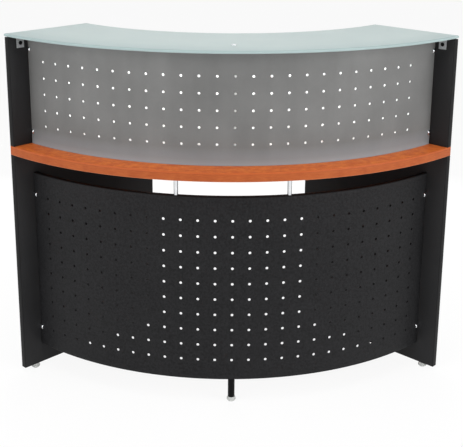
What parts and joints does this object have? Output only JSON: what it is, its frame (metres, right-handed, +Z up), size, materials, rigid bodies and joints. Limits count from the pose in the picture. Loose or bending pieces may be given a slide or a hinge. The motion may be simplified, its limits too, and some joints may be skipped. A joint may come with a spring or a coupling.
{
  "type": "reception desk",
  "caption": "Curved free-standing reception desk with perforated front screens, a wood worktop and a raised frosted glass counter.",
  "frame": {"origin": "on the floor, below the middle of the desk's outer box", "axes": "+X to the visitor's right along the desk's width, -Y towards the visitor, +Z up"},
  "size_m": [1.3718, 0.6972, 1.1183],
  "materials": {
    "black_laminate": "black laminated board, fine matt grain",
    "cherry_laminate": "cherry-coloured laminated board, satin",
    "cherry_band": "cherry-coloured edge band, satin",
    "black_sheet": "black powder coat",
    "silver_sheet": "silver-grey metallic paint",
    "chrome": "polished",
    "zinc": "zinc plated",
    "black_steel": "black, satin",
    "frosted_glass": "frosted",
    "clear_rubber": "soft, translucent",
    "grey_plastic": "light grey, translucent",
    "opal_sheet": "white opal sheet, translucent",
    "beech": "plain beech"
  },
  "bodies": {
    "desk": {"left_side_panel": "black_laminate", "right_side_panel": "black_laminate", "left_counter_post": "black_laminate", "right_counter_post": "black_laminate", "left_front_tie_dowel": "beech", "left_rear_tie_dowel": "beech", "right_front_tie_dowel": "beech", "right_rear_tie_dowel": "beech", "left_lower_screen_stud_bottom": "chrome", "left_lower_screen_stud_top": "chrome", "left_upper_screen_stud_bottom": "chrome", "left_upper_screen_stud_top": "chrome", "right_lower_screen_stud_bottom": "chrome", "right_lower_screen_stud_top": "chrome", "right_upper_screen_stud_bottom": "chrome", "right_upper_screen_stud_top": "chrome", "left_front_angle_bracket": "zinc", "left_front_angle_panel_screw": "zinc", "left_front_angle_worktop_screw": "zinc", "left_rear_angle_bracket": "zinc", "left_rear_angle_panel_screw": "zinc", "left_rear_angle_worktop_screw": "zinc", "right_front_angle_bracket": "zinc", "right_front_angle_panel_screw": "zinc", "right_front_angle_worktop_screw": "zinc", "right_rear_angle_bracket": "zinc", "right_rear_angle_panel_screw": "zinc", "right_rear_angle_worktop_screw": "zinc", "left_glass_bracket": "zinc", "left_glass_bracket_screw": "black_steel", "left_glass_pad": "clear_rubber", "right_glass_bracket": "zinc", "right_glass_bracket_screw": "black_steel", "right_glass_pad": "clear_rubber", "left_front_glide_insert": "zinc", "left_rear_glide_insert": "zinc", "right_front_glide_insert": "zinc", "right_rear_glide_insert": "zinc", "left_hanger_rod": "chrome", "right_hanger_rod": "chrome", "worktop": "cherry_laminate", "worktop_edge_band": "cherry_band", "glass_counter": "frosted_glass", "centre_glass_post": "chrome", "centre_glass_pad": "clear_rubber", "glass_cap_screw": "chrome", "centre_leg": "black_steel", "lower_screen": "black_sheet", "upper_screen": "silver_sheet", "upper_screen_liner": "opal_sheet"},
    "left_front_glide": {"left_front_glide_foot": "grey_plastic", "left_front_glide_stem": "zinc"},
    "left_rear_glide": {"left_rear_glide_foot": "grey_plastic", "left_rear_glide_stem": "zinc"},
    "right_front_glide": {"right_front_glide_foot": "grey_plastic", "right_front_glide_stem": "zinc"},
    "right_rear_glide": {"right_rear_glide_foot": "grey_plastic", "right_rear_glide_stem": "zinc"},
    "centre_glide": {"centre_glide_foot": "grey_plastic", "centre_glide_stem": "zinc"}
  },
  "joints": [
    {"name": "left_front_levelling", "type": "slide", "parent": "desk", "child": "left_front_glide", "axis": [0, 0, -1], "range_m": [0, 0.012]},
    {"name": "left_rear_levelling", "type": "slide", "parent": "desk", "child": "left_rear_glide", "axis": [0, 0, -1], "range_m": [0, 0.012]},
    {"name": "right_front_levelling", "type": "slide", "parent": "desk", "child": "right_front_glide", "axis": [0, 0, -1], "range_m": [0, 0.012]},
    {"name": "right_rear_levelling", "type": "slide", "parent": "desk", "child": "right_rear_glide", "axis": [0, 0, -1], "range_m": [0, 0.012]},
    {"name": "centre_levelling", "type": "slide", "parent": "desk", "child": "centre_glide", "axis": [0, 0, -1], "range_m": [0, 0.012]}
  ]
}
